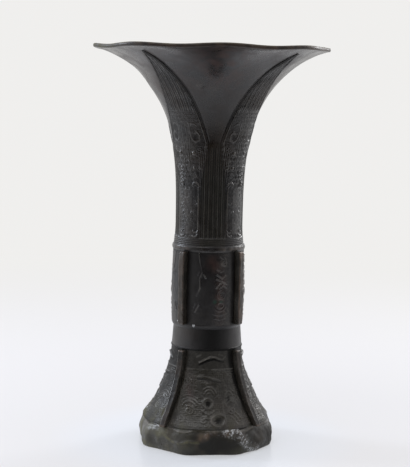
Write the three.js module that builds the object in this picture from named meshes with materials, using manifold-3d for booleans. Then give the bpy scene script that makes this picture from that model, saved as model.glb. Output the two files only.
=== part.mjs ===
// A bronze beaker vase of the archaic gu form, about 250 mm tall, with an eight-lobed trumpet mouth.
// Three castings stand on each other by soldered spigots: the neck and mouth, the knop, and the flared foot.
// A separately cast plate closes the bottom of the well, and eight flange bars are pegged through the walls.
// Millimetres, +Z up. The origin is the middle of the foot ring's underside, and the front panel faces -Y.
import * as THREE from "three";
import { mergeVertices } from "three/addons/utils/BufferGeometryUtils.js";
import Module from "manifold-3d";

const wasm = await Module();
wasm.setup();

// Heights of the castings
const overallHeight = 250;
const footHeight = 74.5;
const knopHeight = 52;

// Neck and mouth
const mouthRadius = 73.5;
const waistRadius = 20.5;
const flareSharpness = 3.85;
const flareRoundness = 0.73;
const neckBaseSwell = 0.8;
const neckBaseRise = 14;
const lipThickness = 2.4;
const lipRoll = 0.6;
const bladeRelief = 0.7;
const bladeTipDrop = 5;
const bladeRootDrop = 59;
const bladeTipHalfAngle = 1;
const bladeRootHalfAngle = 35.5;
const bladeEdgeWidth = 0.5;

// Lobes of the mouth
const lobeCount = 8;
const lobeScallop = 2.4;
const lobeWave = 1;
const lobeReach = 30;

// Knop
const knopStep = 1.9;
const knopBulge = 0.5;
const knopWall = 1.9;
const knopBandHeight = 3.2;
const knopBandRelief = 0.4;
const knopEdgeRound = 2.5;

// Foot
const footRadius = 40.2;
const footFlarePower = 1.75;
const footWall = 3;
const collarHeight = 12;
const collarInset = 1.1;
const collarFlare = 0.9;
const ledgeHeight = 1.4;
const ledgeRelief = 0.4;
const skirtHeight = 15.5;
const skirtSwell = 0.9;
const skirtTuck = 0.6;
const octagonStrength = 0.75;
const octagonFade = 20;

// Spigot joints and the well's floor
const spigotLength = 8;
const spigotWall = 1.7;
const fitClearance = 0.3;
const floorThickness = 2.5;
const solderLeg = 2.2;

// Flange bars and their pegs
const flangeCount = 4;
const flangeThickness = 3.9;
const flangeBevel = 0.4;
const knopFlangeHeight = 4.2;
const knopFlangeRise = 3;
const footFlangeTopHeight = 4.2;
const footFlangeFootHeight = 3.6;
const pegWidth = 2.2;
const pegHeight = 4;
const pegRoot = 1;
const pegRivet = 1;

// Fineness of the faceting
const aroundSteps = 48;
const neckAroundSteps = 64;
const bladeEdgeStep = 5;
const flareSteps = 14;
const columnSteps = 4;
const barrelSteps = 6;
const footSteps = 7;

// Places that follow from the sizes above
const knopTop = footHeight + knopHeight;
const flareTopZ = overallHeight - lipThickness;
const knopRadius = waistRadius + knopStep;
const knopBore = knopRadius - knopWall;
const spigotRadius = knopBore - fitClearance;
const wellRadius = spigotRadius - spigotWall;
const collarTopRadius = knopRadius - collarInset;
const collarFootRadius = collarTopRadius + collarFlare;
const ledgeZ = footHeight - collarHeight;
const flareLength = ledgeZ - ledgeHeight - skirtHeight;
const floorZ = footHeight + spigotLength + fitClearance;
const floorTopZ = floorZ + floorThickness;
const bladeRootZ = overallHeight - bladeRootDrop;
const bladeTipZ = overallHeight - bladeTipDrop;

const blend = THREE.MathUtils.smoothstep;
const mix = THREE.MathUtils.lerp;

// Outer radius of the plain neck and mouth at a height
function neckRadius(z) {
  const share = THREE.MathUtils.clamp((z - knopTop) / (flareTopZ - knopTop), 0, 1);
  const opened = 1 - (1 - share ** flareSharpness) ** flareRoundness;
  const foot = Math.max(knopTop + neckBaseRise - z, 0) / neckBaseRise;
  return waistRadius + (mouthRadius - waistRadius) * opened + neckBaseSwell * foot ** 2;
}

// The point at a distance outside the plain neck, measured square to its surface
function neckPoint(z, distance) {
  const nudge = 0.1;
  const low = Math.max(z - nudge, knopTop);
  const high = Math.min(z + nudge, flareTopZ);
  const slope = (neckRadius(high) - neckRadius(low)) / (high - low);
  const length = Math.hypot(1, slope);
  return new THREE.Vector2(neckRadius(z) + distance / length, z - (distance * slope) / length);
}

// Outer radius of the knop's barrel at a height
function knopBarrelRadius(z) {
  const share = THREE.MathUtils.clamp((z - footHeight) / (knopHeight - knopBandHeight), 0, 1);
  return knopRadius + knopBulge * Math.sin(Math.PI * share);
}

// Outer radius of the foot's flare between the ledge and the skirt
function footRadiusAt(z) {
  const share = THREE.MathUtils.clamp((ledgeZ - ledgeHeight - z) / flareLength, 0, 1);
  return collarFootRadius + (footRadius - collarFootRadius) * share ** footFlarePower;
}

// How far a direction lies from the middle of a lobe, from 0 on the lobe to 1 in the notch
function notch(angle) {
  return (1 - Math.cos(lobeCount * angle)) / 2;
}

// Pulls the mouth in and down between its lobes
function scallop(point) {
  const angle = Math.atan2(point.y, point.x);
  const share = blend(point.z, overallHeight - lobeReach, overallHeight) * notch(angle);
  const radius = Math.hypot(point.x, point.y) - lobeScallop * share;
  point.set(radius * Math.cos(angle), radius * Math.sin(angle), point.z - lobeWave * share);
}

// Turns the round foot into a soft octagon towards its skirt
function squareOff(point) {
  const sector = (2 * Math.PI) / lobeCount;
  const angle = Math.atan2(point.y, point.x);
  const fromFlat = angle - sector * Math.round(angle / sector);
  const share = 1 - blend(point.z, skirtHeight, skirtHeight + octagonFade);
  const stretch = 1 + octagonStrength * share * (1 / Math.cos(fromFlat) - 1);
  point.set(point.x * stretch, point.y * stretch, point.z);
}

// Moves every vertex of a geometry by a function of its place
function bend(geometry, move) {
  const places = geometry.getAttribute("position");
  const point = new THREE.Vector3();
  for (let i = 0; i < places.count; i++) {
    point.fromBufferAttribute(places, i);
    move(point);
    places.setXYZ(i, point.x, point.y, point.z);
  }
  return geometry;
}

// A body of revolution about Z from a closed outline of radius and height
function turned(outline, steps = aroundSteps) {
  const closed = [...outline, outline[0].clone()];
  return new THREE.LatheGeometry(closed, steps).rotateX(Math.PI / 2);
}

function ringPoint(radius, z) {
  return new THREE.Vector2(radius, z);
}

// Solids for joining and cutting
function toSolid(geometry) {
  const bare = geometry.clone();
  bare.deleteAttribute("normal");
  bare.deleteAttribute("uv");
  const merged = mergeVertices(bare, 1e-3);
  return new wasm.Manifold(
    new wasm.Mesh({
      numProp: 3,
      vertProperties: new Float32Array(merged.attributes.position.array),
      triVerts: new Uint32Array(merged.index.array),
    }),
  );
}

function toGeometry(solid) {
  const mesh = solid.getMesh();
  const geometry = new THREE.BufferGeometry();
  geometry.setAttribute("position", new THREE.BufferAttribute(mesh.vertProperties, 3));
  geometry.setIndex(new THREE.BufferAttribute(mesh.triVerts, 1));
  geometry.computeVertexNormals();
  return geometry;
}

// Neck and mouth: spigot, column, trumpet and rolled lip
function neckOutline() {
  const outline = [
    ringPoint(wellRadius, knopTop - spigotLength),
    ringPoint(spigotRadius, knopTop - spigotLength),
    ringPoint(spigotRadius, knopTop),
  ];
  for (let i = 0; i <= columnSteps; i++) {
    const z = mix(knopTop, bladeRootZ, i / columnSteps);
    outline.push(ringPoint(neckRadius(z) + bladeRelief, z));
  }
  const flare = [];
  for (let i = 0; i <= flareSteps; i++) {
    const share = 1 - (1 - i / flareSteps) ** 2;
    flare.push(mix(bladeRootZ + bladeRelief, flareTopZ, share));
  }
  for (const z of flare) outline.push(neckPoint(z, 0));
  outline.push(ringPoint(mouthRadius + lipRoll, overallHeight - lipThickness / 2));
  outline.push(ringPoint(mouthRadius, overallHeight));
  const columnWall = waistRadius - wellRadius;
  for (const z of flare.slice(0, -1).reverse()) {
    const wall = mix(columnWall, lipThickness, blend(z, bladeRootZ, overallHeight));
    outline.push(neckPoint(z, -wall));
  }
  outline.push(ringPoint(wellRadius, mix(knopTop, bladeRootZ, 0.5)));
  return outline;
}

function bladeHalfAngle(z) {
  const share = (bladeTipZ - z) / (bladeTipZ - bladeRootZ);
  return THREE.MathUtils.degToRad(mix(bladeTipHalfAngle, bladeRootHalfAngle, share));
}

// Raises four leaf blades on the trumpet, one over each flange, out of the plain outer surface
function raiseBlades(point) {
  const radius = Math.hypot(point.x, point.y);
  const onOutside = Math.abs(radius - neckRadius(point.z)) < 0.01;
  if (!onOutside || point.z < bladeRootZ || point.z > bladeTipZ) return;
  const halfSpan = Math.PI / flangeCount;
  const halfSteps = neckAroundSteps / flangeCount / 2;
  const turn = Math.atan2(point.y, point.x);
  const middle = (Math.floor(turn / (2 * halfSpan) + 1e-6) + 0.5) * 2 * halfSpan;
  const side = Math.sign(turn - middle + 1e-9);
  const step = Math.round((Math.abs(turn - middle) / halfSpan) * halfSteps);
  const edge = bladeHalfAngle(point.z);
  const outer = edge + bladeEdgeWidth / radius;
  const inBlade = step <= bladeEdgeStep;
  const share = (step - bladeEdgeStep - 1) / (halfSteps - bladeEdgeStep - 1);
  const offset = inBlade ? (edge * step) / bladeEdgeStep : mix(outer, halfSpan, share);
  const place = inBlade ? neckPoint(point.z, bladeRelief) : ringPoint(radius, point.z);
  const angle = middle + side * offset;
  point.set(place.x * Math.cos(angle), place.x * Math.sin(angle), place.y);
}

function neckAndMouth() {
  const casting = bend(turned(neckOutline(), neckAroundSteps), raiseBlades);
  return bend(casting, scallop);
}

// Knop: a slightly bulged barrel under a raised band, pierced for the flange pegs
function knopOutline() {
  const bandRadius = knopRadius + knopBandRelief;
  const bandZ = knopTop - knopBandHeight;
  const outline = [
    ringPoint(knopBore, footHeight),
    ringPoint(collarTopRadius, footHeight),
  ];
  for (let i = 0; i <= barrelSteps; i++) {
    const z = mix(footHeight + knopEdgeRound, bandZ, i / barrelSteps);
    outline.push(ringPoint(knopBarrelRadius(z), z));
  }
  outline.push(ringPoint(bandRadius, bandZ + knopBandRelief / 2));
  outline.push(ringPoint(bandRadius, knopTop - knopBandRelief / 2));
  outline.push(ringPoint(bandRadius - knopBandRelief / 2, knopTop));
  outline.push(ringPoint(knopBore, knopTop));
  return outline;
}

// Foot: spigot, plain collar, ledge, concave flare and octagonal skirt, hollow underneath
function footOutline() {
  const ringZ = ledgeZ - ledgeHeight;
  const outline = [
    ringPoint(wellRadius, footHeight + spigotLength),
    ringPoint(wellRadius, ledgeZ),
    ringPoint(collarFootRadius - footWall, ringZ),
  ];
  const levels = [];
  for (let i = 1; i <= footSteps; i++) levels.push(mix(ringZ, skirtHeight, i / footSteps));
  for (const z of levels) outline.push(ringPoint(footRadiusAt(z) - footWall, z));
  outline.push(ringPoint(footRadius + skirtSwell - footWall, skirtHeight / 2));
  outline.push(ringPoint(footRadius - skirtTuck - footWall, 0));
  outline.push(ringPoint(footRadius - skirtTuck, 0));
  outline.push(ringPoint(footRadius, skirtHeight / 6));
  outline.push(ringPoint(footRadius + skirtSwell, skirtHeight / 2));
  outline.push(ringPoint(footRadius + skirtSwell / 2, (skirtHeight * 5) / 6));
  for (const z of levels.reverse()) outline.push(ringPoint(footRadiusAt(z), z));
  outline.push(ringPoint(collarFootRadius, ringZ));
  outline.push(ringPoint(collarFootRadius + ledgeRelief, ringZ + ledgeHeight / 4));
  outline.push(ringPoint(collarFootRadius + ledgeRelief, ledgeZ - ledgeHeight / 4));
  outline.push(ringPoint(collarFootRadius, ledgeZ));
  outline.push(ringPoint(collarTopRadius, footHeight));
  outline.push(ringPoint(spigotRadius, footHeight));
  outline.push(ringPoint(spigotRadius, footHeight + spigotLength));
  return outline;
}

// A block that runs outwards along X from one radius to another
function block(innerRadius, outerRadius, width, height, z) {
  const box = new THREE.BoxGeometry(outerRadius - innerRadius, width, height);
  return box.translate((innerRadius + outerRadius) / 2, 0, z);
}

function flangeAngle(i) {
  return (2 * Math.PI * (i + 0.5)) / flangeCount;
}

// Two pegs at the quarter points of a height range, from inside the wall to inside the bar
function pegPair(lowZ, highZ, wallRadius, boreRadius) {
  return [0.25, 0.75].map((share) => {
    const z = mix(lowZ, highZ, share);
    const widest = Math.max(wallRadius(z - pegHeight / 2), wallRadius(z + pegHeight / 2));
    return { z, inner: boreRadius(z + pegHeight / 2) - pegRivet, outer: widest + pegRoot };
  });
}

function knopPegs() {
  const lowZ = floorTopZ + solderLeg;
  const highZ = knopTop - spigotLength - solderLeg;
  return pegPair(lowZ, highZ, knopBarrelRadius, () => knopBore);
}

function footPegs() {
  const bore = (z) => footRadiusAt(z) - footWall;
  return pegPair(skirtHeight, ledgeZ - ledgeHeight, footRadiusAt, bore);
}

// The casting with a clearance slot for every flange peg
function slotted(geometry, pegs) {
  let solid = toSolid(geometry);
  for (let i = 0; i < flangeCount; i++) {
    for (const peg of pegs) {
      const slot = block(
        peg.inner - fitClearance,
        peg.outer + pegRoot,
        pegWidth + 2 * fitClearance,
        pegHeight + 2 * fitClearance,
        peg.z,
      );
      solid = solid.subtract(toSolid(slot.rotateZ(flangeAngle(i))));
    }
  }
  return toGeometry(solid);
}

// A flange bar whose inner edge follows the wall behind it, with its pegs joined on
function flangeBar(lowZ, highZ, wallRadius, edgeRadius, steps, pegs) {
  const side = new THREE.Shape();
  side.moveTo(wallRadius(lowZ) + fitClearance, lowZ);
  side.lineTo(edgeRadius(lowZ), lowZ);
  for (let i = 1; i <= steps; i++) {
    const z = mix(lowZ, highZ, i / steps);
    side.lineTo(edgeRadius(z), z);
  }
  for (let i = steps; i > 0; i--) {
    const z = mix(lowZ, highZ, i / steps);
    side.lineTo(wallRadius(z) + fitClearance, z);
  }
  const bar = new THREE.ExtrudeGeometry(side, {
    depth: flangeThickness - 2 * flangeBevel,
    bevelThickness: flangeBevel,
    bevelSize: flangeBevel,
    bevelOffset: -flangeBevel,
    bevelSegments: 1,
  });
  bar.translate(0, 0, flangeBevel - flangeThickness / 2).rotateX(Math.PI / 2);
  let solid = toSolid(bar);
  for (const peg of pegs) {
    solid = solid.add(toSolid(block(peg.inner, peg.outer, pegWidth, pegHeight, peg.z)));
  }
  return toGeometry(solid);
}

function knopFlange() {
  const edge = () => knopRadius + knopBulge + knopFlangeHeight;
  const lowZ = footHeight + knopFlangeRise;
  const highZ = knopTop - knopBandHeight - fitClearance;
  return flangeBar(lowZ, highZ, knopBarrelRadius, edge, barrelSteps, knopPegs());
}

function footFlange() {
  const lowZ = skirtHeight;
  const highZ = ledgeZ - ledgeHeight - fitClearance;
  const edge = (z) => {
    const share = (z - lowZ) / (highZ - lowZ);
    return footRadiusAt(z) + mix(footFlangeFootHeight, footFlangeTopHeight, share);
  };
  const wall = (z) => {
    const stretch = new THREE.Vector3(footRadiusAt(z), 0, z);
    squareOff(stretch);
    return stretch.x;
  };
  return flangeBar(lowZ, highZ, wall, edge, footSteps, footPegs());
}

// The plate that closes the well, resting on the foot's spigot
function wellFloor() {
  const plate = new THREE.CylinderGeometry(spigotRadius, spigotRadius, floorThickness, aroundSteps);
  return plate.rotateX(Math.PI / 2).translate(0, 0, floorZ + floorThickness / 2);
}

// Solder run into the corner under the neck's spigot
function neckJointSolder() {
  const topZ = knopTop - spigotLength - fitClearance;
  return turned([
    ringPoint(spigotRadius, topZ - solderLeg),
    ringPoint(spigotRadius, topZ),
    ringPoint(wellRadius, topZ),
  ]);
}

// Solder run into the corner between the well's floor and the knop
function floorSolder() {
  const lowZ = floorTopZ + fitClearance;
  return turned([
    ringPoint(spigotRadius - solderLeg, lowZ),
    ringPoint(spigotRadius, lowZ),
    ringPoint(spigotRadius, lowZ + solderLeg),
  ]);
}

// Finishes
const darkBronze = new THREE.MeshStandardMaterial({ color: 0x2b2725, roughness: 0.42, metalness: 0.85 });
const wornBronze = new THREE.MeshStandardMaterial({ color: 0x4a3a2e, roughness: 0.38, metalness: 0.85 });
const earthyBronze = new THREE.MeshStandardMaterial({ color: 0x34312a, roughness: 0.55, metalness: 0.75 });
const greySolder = new THREE.MeshStandardMaterial({ color: 0x6f6c66, roughness: 0.6, metalness: 0.8 });

const vase = new THREE.Group();

function addPiece(name, geometry, material, turn = 0) {
  const mesh = new THREE.Mesh(geometry, material);
  mesh.name = name;
  mesh.rotation.z = turn;
  vase.add(mesh);
}

addPiece("neck_and_mouth", neckAndMouth(), darkBronze);
addPiece("knop", slotted(turned(knopOutline()), knopPegs()), darkBronze);
addPiece("foot", slotted(bend(turned(footOutline()), squareOff), footPegs()), earthyBronze);
addPiece("well_floor", wellFloor(), earthyBronze);
addPiece("neck_joint_solder", neckJointSolder(), greySolder);
addPiece("well_floor_solder", floorSolder(), greySolder);

const corners = ["right_back", "left_back", "left_front", "right_front"];
for (let i = 0; i < flangeCount; i++) {
  addPiece(`knop_flange_${corners[i]}`, knopFlange(), wornBronze, flangeAngle(i));
  addPiece(`foot_flange_${corners[i]}`, footFlange(), wornBronze, flangeAngle(i));
}

export default vase;
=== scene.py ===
"""Bronze beaker vase: cast relief, leaf blades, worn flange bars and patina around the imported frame."""
import math

import bmesh
import bpy
import numpy as np
from bpy.props import FloatProperty, FloatVectorProperty, IntProperty, PointerProperty
from mathutils import Matrix, Vector


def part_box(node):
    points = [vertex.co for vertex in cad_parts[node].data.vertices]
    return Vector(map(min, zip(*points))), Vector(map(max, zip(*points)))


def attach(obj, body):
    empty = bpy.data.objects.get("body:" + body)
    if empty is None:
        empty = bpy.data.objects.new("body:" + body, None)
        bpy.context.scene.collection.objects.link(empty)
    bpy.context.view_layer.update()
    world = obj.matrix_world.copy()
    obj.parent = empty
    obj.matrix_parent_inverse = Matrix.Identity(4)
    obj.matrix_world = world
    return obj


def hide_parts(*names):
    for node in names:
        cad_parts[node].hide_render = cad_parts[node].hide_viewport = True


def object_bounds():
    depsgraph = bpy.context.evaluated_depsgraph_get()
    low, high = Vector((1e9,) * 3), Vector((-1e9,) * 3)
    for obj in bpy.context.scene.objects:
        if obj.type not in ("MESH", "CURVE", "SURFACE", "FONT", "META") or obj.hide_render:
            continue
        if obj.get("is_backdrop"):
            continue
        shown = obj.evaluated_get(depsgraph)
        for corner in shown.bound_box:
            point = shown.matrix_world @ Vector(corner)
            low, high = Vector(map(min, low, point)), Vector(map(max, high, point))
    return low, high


bl_info = {
    "name": "Bronze beaker vase",
    "version": (1, 0, 0),
    "blender": (4, 5, 0),
    "location": "3D View > Sidebar > Vase",
    "description": "Casts a lobed beaker vase with leaf blades, mask panels and flange bars, and lights it",
    "category": "Object",
}

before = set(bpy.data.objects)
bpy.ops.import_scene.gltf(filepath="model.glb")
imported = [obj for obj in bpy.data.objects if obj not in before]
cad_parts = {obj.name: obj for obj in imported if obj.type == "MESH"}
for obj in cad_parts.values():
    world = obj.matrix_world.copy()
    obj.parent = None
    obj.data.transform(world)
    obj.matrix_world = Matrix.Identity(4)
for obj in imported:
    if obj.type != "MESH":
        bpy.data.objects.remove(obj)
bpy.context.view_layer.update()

# Geometry is worked out in millimetres and written in metres
MM = 0.001
QUARTER = math.pi / 2
EIGHTH = QUARTER / 2
CORNERS = ("right_back", "left_back", "left_front", "right_front")


def level(node, end):
    """Lowest (0) or highest (1) height of a frame node, in millimetres."""
    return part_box(node)[end][2] / MM


# Heights of the castings, from the frame
KNOP_LOW = level("knop", 0)
KNOP_TOP = level("knop", 1)
MOUTH_TOP = level("neck_and_mouth", 1)
NECK_LOW = level("neck_and_mouth", 0)
FOOT_TOP = level("foot", 1)
KNOP_BAR = (level("knop_flange_left_front", 0), level("knop_flange_left_front", 1))
FOOT_BAR = (level("foot_flange_left_front", 0), level("foot_flange_left_front", 1))
LIP_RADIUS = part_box("neck_and_mouth")[1][0] / MM

# Shape of the trumpet, the knop and the foot, as in the frame
FLARE_SHARPNESS = 3.85
FLARE_ROUNDNESS = 0.73
NECK_BASE_SWELL = 0.8
NECK_BASE_RISE = 14
SPIGOT_RADIUS = 20.2
KNOP_BORE = 20.5
KNOP_BULGE = 0.5
KNOP_EDGE = 2.5
COLLAR_TOP_RADIUS = 21.3
COLLAR_FOOT_RADIUS = 22.2
COLLAR_HEIGHT = 12
LEDGE_HEIGHT = 1.4
LEDGE_BULGE = 0.4
SKIRT_HEIGHT = 15.5
SKIRT_SWELL = 1.5
SKIRT_TUCK = 0.2
FOOT_FLARE_POWER = 1.75
FOOT_WALL = 3.0
OCTAGON_STRENGTH = 0.85
LOBES = 8
LOBE_SCALLOP = 2.4
LOBE_WAVE = 1
LOBE_REACH = 30
OCTAGON_SHARPNESS = 1.7
OCTAGON_FADE = (1, 24)

# The mouth is pressed in a little on its left side, and its wave is lower at the front right
PRESSED_SIDE = math.pi
PRESSED_DEPTH = 1.9
PRESSED_HEIGHT = 236
QUIET_WAVE = -0.39

# Leaf blades: heights, and half their spread as seen from the axis
LEAF_TIP = 245.0
LEAF_ROOT = 191.0
LEAF_WAIST = 162.0
LEAF_LOW = 131.0
LEAF_TIP_ANGLE = math.radians(1)
LEAF_ROOT_ANGLE = math.radians(35.5)
LEAF_WAIST_ANGLE = math.radians(23.5)


def metres(label, text, value):
    return FloatProperty(name=label, description=text, default=value, min=0, unit="LENGTH", precision=5)


def shade(label, text, red, green, blue):
    return FloatVectorProperty(
        name=label, description=text, default=(red, green, blue), size=3, min=0, max=1, subtype="COLOR"
    )


def watts(label, text, value):
    return FloatProperty(name=label, description=text, default=value, min=0, unit="POWER")


class VaseSizes(bpy.types.PropertyGroup):
    """Sizes of the castings and of their relief."""

    waist_radius: metres("Waist radius", "Neck radius under the relief", 0.0205)
    mouth_radius: metres("Mouth radius", "Radius where the trumpet meets its lip", 0.0735)
    lip_height: metres("Lip height", "Height of the band round the lip", 0.0024)
    well_radius: metres("Well radius", "Radius of the hollow in the neck", 0.0185)
    knop_radius: metres("Knop radius", "Radius at the knop's ends", 0.0224)
    foot_radius: metres("Foot radius", "Radius across the flats of the skirt", 0.0402)
    leaf_height: metres("Leaf height", "How far the leaf blades stand proud of the neck", 0.00055)
    edge_groove: metres("Edge groove", "Depth of the crease beside each leaf blade", 0.00028)
    rib_pitch: metres("Rib pitch", "Spacing of the upright ribs between the blades", 0.0013)
    rib_height: metres("Rib height", "Height of the upright ribs", 0.0004)
    thread_pitch: metres("Thread pitch", "Spacing of the threads along a blade", 0.0016)
    spiral_pitch: metres("Spiral pitch", "Width of one cell of the squared spiral ground", 0.0028)
    knop_relief: metres("Knop relief", "Height of the knop's ornament", 0.0007)
    mask_relief: metres("Mask relief", "Height of the mask on the foot", 0.0010)
    bar_width: metres("Bar width", "Thickness of a flange bar", 0.0039)


class VaseFinish(bpy.types.PropertyGroup):
    """Colours of the patina."""

    bronze: shade("Bronze", "Near-black ground of the patina", 0.010, 0.0097, 0.0105)
    moss: shade("Moss", "Olive brown ground of the foot's patina", 0.022, 0.020, 0.013)
    umber: shade("Umber", "Brown where the patina is thin", 0.026, 0.016, 0.009)
    plum: shade("Plum", "Reddish brown clouds on the trumpet and knop", 0.037, 0.0175, 0.0135)
    worn: shade("Worn metal", "Brown copper on rubbed edges", 0.13, 0.085, 0.06)
    dust: shade("Dust", "Dust on the relief", 0.085, 0.075, 0.062)
    # This colour is dirt in the hollows and also painted shade, laid where the relief layer is set low for
    # shade
    shade_and_dirt: shade("Recess", "Dirt left in the recesses", 0.004, 0.0038, 0.0035)
    olive: shade("Olive", "Greenish crust near the foot", 0.100, 0.094, 0.052)
    verdigris: shade("Verdigris", "Green spot on the knop", 0.008, 0.032, 0.020)
    chalk: shade("Chalk", "Pale crust on the skirt", 0.48, 0.49, 0.50)
    solder: shade("Solder", "Dull grey of the soft solder", 0.20, 0.19, 0.18)


class StageLook(bpy.types.PropertyGroup):
    """Floor, backdrop and lamps."""

    backdrop: shade("Backdrop", "Pale colour behind the vase", 0.870, 0.863, 0.850)
    floor: shade("Floor", "Pale colour of the table", 0.735, 0.740, 0.775)
    lamp_side: watts("Side lamps", "Power of each side lamp", 4.0)
    lamp_top: watts("Top lamp", "Power of the lamp overhead", 2.6)
    # A painted tint for the shadow and reflection on the table round the foot
    foot_shadow_tint: shade("Near floor", "Cooler colour of the table round the foot", 0.740, 0.795, 0.890)
    floor_size: metres("Floor size", "Half the width of the floor", 3.0)
    around: IntProperty(
        name="Steps around", description="Steps in a full turn of the knop and the foot", default=448, min=64
    )


def mm(name):
    """A size from the vase's settings, in millimetres."""
    return getattr(bpy.context.scene.vase_sizes, name) / MM


def colour(name):
    return (*getattr(bpy.context.scene.vase_finish, name), 1.0)


# Small helpers on arrays

CLOUD_CELLS = 32
CLOUD_GAIN = 1.5


def smoothstep(value, low, high):
    share = np.clip((value - low) / (high - low), 0, 1)
    return share * share * (3 - 2 * share)


def mix(a, b, share):
    return a + (b - a) * share


def bump(gap, reach):
    """A rounded ridge: 1 where the gap is nothing, 0 from a reach away."""
    return 0.5 + 0.5 * np.cos(np.pi * np.clip(np.abs(gap) / reach, 0, 1))


def turned_from(angle, middle):
    """Angles measured from a middle direction, from minus to plus half a turn."""
    return np.mod(angle - middle + math.pi, 2 * math.pi) - math.pi


def stroke(s, z, points, reach=0.5):
    """A ridge along a line of points."""
    gap = np.full(np.shape(s), 1e6)
    for (s0, z0), (s1, z1) in zip(points, points[1:]):
        ds, dz = s1 - s0, z1 - z0
        share = np.clip(((s - s0) * ds + (z - z0) * dz) / (ds * ds + dz * dz), 0, 1)
        gap = np.minimum(gap, np.hypot(s - s0 - share * ds, z - z0 - share * dz))
    return bump(gap, reach)


def arc(s0, z0, radius, start, end, squash=1.0, steps=10):
    """Points on an arc, its angles in degrees."""
    turns = np.radians(np.linspace(start, end, steps))
    return [(s0 + radius * math.cos(t), z0 + squash * radius * math.sin(t)) for t in turns]


def coil(s0, z0, radius, turns=1.75, start=0.0, hand=1, tail=0.15):
    """Points on a spiral that winds inwards."""
    steps = int(12 * turns) + 1
    line = []
    for i in range(steps):
        share = i / (steps - 1)
        angle = math.radians(start) + hand * 2 * math.pi * turns * share
        reach = radius * mix(1, tail, share)
        line.append((s0 + reach * math.cos(angle), z0 + reach * math.sin(angle)))
    return line


def dome(s, z, s0, z0, radius):
    gap = np.hypot(s - s0, z - z0) / radius
    return np.sqrt(np.clip(1 - gap * gap, 0, 1))


def ring(s, z, s0, z0, radius, reach=0.45):
    return bump(np.hypot(s - s0, z - z0) - radius, reach)


def spot(s, z, middle, reach, across=1.0, up=1.0):
    """A rounded mark round a point, narrower across or up where that share is over 1."""
    return bump(np.hypot(across * (s - middle[0]), up * (z - middle[1])), reach)


def raise_lines(height, s, z, lines, widen, lift=1.0, kept=1.0):
    """Adds ridges to a height, each given by its points, its reach and its rise."""
    for points, reach, rise in lines:
        height = np.maximum(height, lift * rise * stroke(s, z, points, widen * reach) * kept)
    return height


def thunder(s, z, pitch, turn_pitch=None):
    """Squared spirals, one in each cell of a brickwork, wound left and right in turn."""
    turn_pitch = turn_pitch or pitch / 4
    row = np.floor(z / pitch)
    across = s / pitch + 0.5 * (row % 2)
    x = (across - np.floor(across) - 0.5) * pitch
    y = (z / pitch - row - 0.5) * pitch
    hand = np.where((np.floor(across) + row) % 2 > 0.5, 1, -1)
    reach = np.maximum(np.abs(x), np.abs(y))
    turn = np.arctan2(y, x * hand) / (2 * math.pi)
    return 0.5 + 0.5 * np.cos(2 * math.pi * (reach / turn_pitch - turn))


def round_places(radius, angle, z):
    """Places on a turned casting, before its relief moves them."""
    return np.stack([radius * np.cos(angle), radius * np.sin(angle), z], axis=1)


def clouds(places, size, seed):
    """Smooth noise from -1 to 1 at each place, with lumps about a size across, in millimetres."""
    table = np.random.default_rng(seed).uniform(-1, 1, (CLOUD_CELLS, CLOUD_CELLS, CLOUD_CELLS))
    spread = places / size + CLOUD_CELLS / 2
    cell = np.floor(spread).astype(int)
    share = spread - cell
    share = share * share * (3 - 2 * share)
    total = np.zeros(len(places))
    for corner in np.ndindex(2, 2, 2):
        weight = np.prod(np.where(corner, share, 1 - share), axis=1)
        x, y, z = ((cell + corner) % CLOUD_CELLS).T
        total += weight * table[x, y, z]
    return np.clip(CLOUD_GAIN * total, -1, 1)


# Outer lines of the castings


def neck_radius(z):
    flare_top = MOUTH_TOP - mm("lip_height")
    share = np.clip((z - KNOP_TOP) / (flare_top - KNOP_TOP), 0, 1)
    opened = 1 - (1 - share**FLARE_SHARPNESS) ** FLARE_ROUNDNESS
    foot = np.maximum(KNOP_TOP + NECK_BASE_RISE - z, 0) / NECK_BASE_RISE
    waist = mm("waist_radius")
    return waist + (mm("mouth_radius") - waist) * opened + NECK_BASE_SWELL * foot**2


def knop_radius(z):
    share = np.clip((z - KNOP_LOW) / (KNOP_BAR[1] - KNOP_LOW), 0, 1)
    return mm("knop_radius") + KNOP_BULGE * np.sin(np.pi * share)


def foot_radius(z):
    ledge_low = KNOP_LOW - COLLAR_HEIGHT - LEDGE_HEIGHT
    share = np.clip((ledge_low - z) / (ledge_low - SKIRT_HEIGHT), 0, 1)
    return COLLAR_FOOT_RADIUS + (mm("foot_radius") - COLLAR_FOOT_RADIUS) * share**FOOT_FLARE_POWER


class Line:
    """A line up the outside of a casting, measured by the distance along it."""

    def __init__(self, radius, heights):
        self.z = heights
        self.r = radius(heights)
        steps = np.hypot(np.diff(self.r), np.diff(self.z))
        self.along = np.concatenate([[0], np.cumsum(steps)])
        self.out_r = np.gradient(self.z, self.along)
        self.out_z = -np.gradient(self.r, self.along)
        self.length = self.along[-1]

    def distance(self, z):
        return np.interp(z, self.z, self.along)

    def at(self, distance):
        """Radius, height and outward direction at distances along the line."""
        return [np.interp(distance, self.along, v) for v in (self.r, self.z, self.out_r, self.out_z)]


def neck_line():
    share = np.linspace(0, 1, 3000)
    flare_top = MOUTH_TOP - mm("lip_height")
    return Line(neck_radius, KNOP_TOP + (flare_top - KNOP_TOP) * (1 - (1 - share) ** 2))


def leaf_half_angle(z):
    share = (LEAF_TIP - z) / (LEAF_TIP - LEAF_ROOT)
    blade = mix(LEAF_TIP_ANGLE, LEAF_ROOT_ANGLE, share)
    panel = mix(LEAF_WAIST_ANGLE, LEAF_ROOT_ANGLE, smoothstep(z, LEAF_WAIST - 4, LEAF_ROOT + 2))
    return np.where(z > LEAF_ROOT, blade, panel)


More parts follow.
